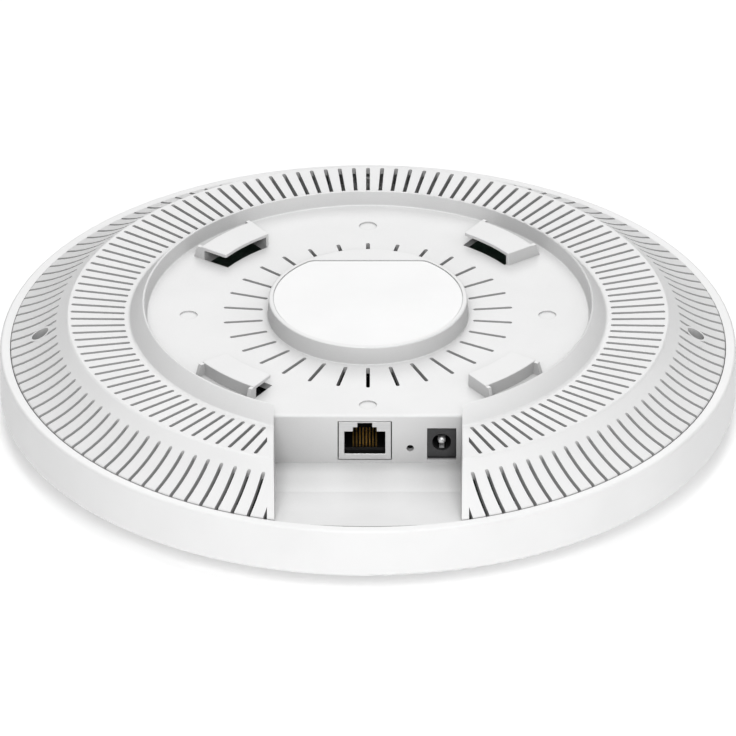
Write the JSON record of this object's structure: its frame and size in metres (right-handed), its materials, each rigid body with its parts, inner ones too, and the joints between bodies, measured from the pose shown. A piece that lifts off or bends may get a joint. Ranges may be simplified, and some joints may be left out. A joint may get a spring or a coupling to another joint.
{
  "type": "ceiling access point",
  "caption": "Round white ceiling-mount wireless access point, shown from its mounting side, with vented rear cover, bayonet hooks and a recessed port bay.",
  "frame": {"origin": "centre of the recessed floor on the back, the plane that the ceiling bracket seats on", "axes": "+Z towards the ceiling, out of the back; the port bay faces -Y; X to the right seen from the bay"},
  "size_m": [0.23, 0.23, 0.0406],
  "materials": {
    "rear_shell": "fine satin moulded",
    "front_shell": "fine satin moulded",
    "label_film": "smooth blank film",
    "circuit_board": "solder mask",
    "chip_resin": "matt moulded resin",
    "ferrite": "matt sintered",
    "capacitor_can": "drawn can",
    "tinned_steel": "tinned sheet",
    "jack_shell": "nickel plated sheet",
    "black_plastic": "moulded",
    "jack_plastic": "moulded dark grey",
    "gold_wire": "gold plated",
    "plated_pin": "nickel plated",
    "cast_aluminium": "black anodised",
    "pad_gel": "soft pad",
    "screw_steel": "zinc plated",
    "insert_brass": "turned",
    "antenna_metal": "tinned brass sheet",
    "led_body": "clear resin on white body",
    "light_pipe_resin": "milky clear"
  },
  "bodies": {
    "case": {"rear_cover": "rear_shell", "front_cover": "front_shell", "rating_label": "label_film", "main_board": "circuit_board", "processor_chip": "chip_resin", "memory_chips": "chip_resin", "flash_chip": "chip_resin", "radio_chips": "chip_resin", "power_inductors": "ferrite", "power_transformer": "ferrite", "lan_magnetics": "ferrite", "electrolytic_capacitors": "capacitor_can", "shield_fences": "tinned_steel", "shield_lids": "tinned_steel", "reset_switch_frame": "tinned_steel", "crystals": "tinned_steel", "ethernet_jack_shield": "jack_shell", "ethernet_jack_housing": "black_plastic", "reset_switch_body": "black_plastic", "dc_jack_housing": "jack_plastic", "dc_jack_pin": "plated_pin", "heat_sink": "cast_aluminium", "thermal_pads": "pad_gel", "case_screws": "screw_steel", "board_screws": "screw_steel", "heat_sink_screws": "screw_steel", "threaded_inserts": "insert_brass", "antennas_24ghz": "antenna_metal", "antennas_5ghz": "antenna_metal", "status_led": "led_body", "light_pipe": "light_pipe_resin"},
    "reset_key": {"reset_button": "black_plastic"},
    "contact_comb": {"ethernet_contacts": "gold_wire"},
    "sleeve_spring": {"dc_jack_spring": "plated_pin"}
  },
  "joints": [
    {"name": "reset_press", "type": "slide", "parent": "case", "child": "reset_key", "axis": [0, 1, 0], "range_m": [0, 0.00025], "stiffness_N_per_m": 2000, "springref_m": -0.0002},
    {"name": "contact_flex", "type": "hinge", "parent": "case", "child": "contact_comb", "pos_m": [-0.001, -0.05905, -0.01316], "axis": [-1, 0, 0], "range_deg": [0, 8], "stiffness_Nm_per_rad": 0.05},
    {"name": "sleeve_spring_flex", "type": "hinge", "parent": "case", "child": "sleeve_spring", "pos_m": [0.0229, -0.0534, -0.0134], "axis": [1, 0, 0], "range_deg": [0, 5], "stiffness_Nm_per_rad": 0.02}
  ]
}
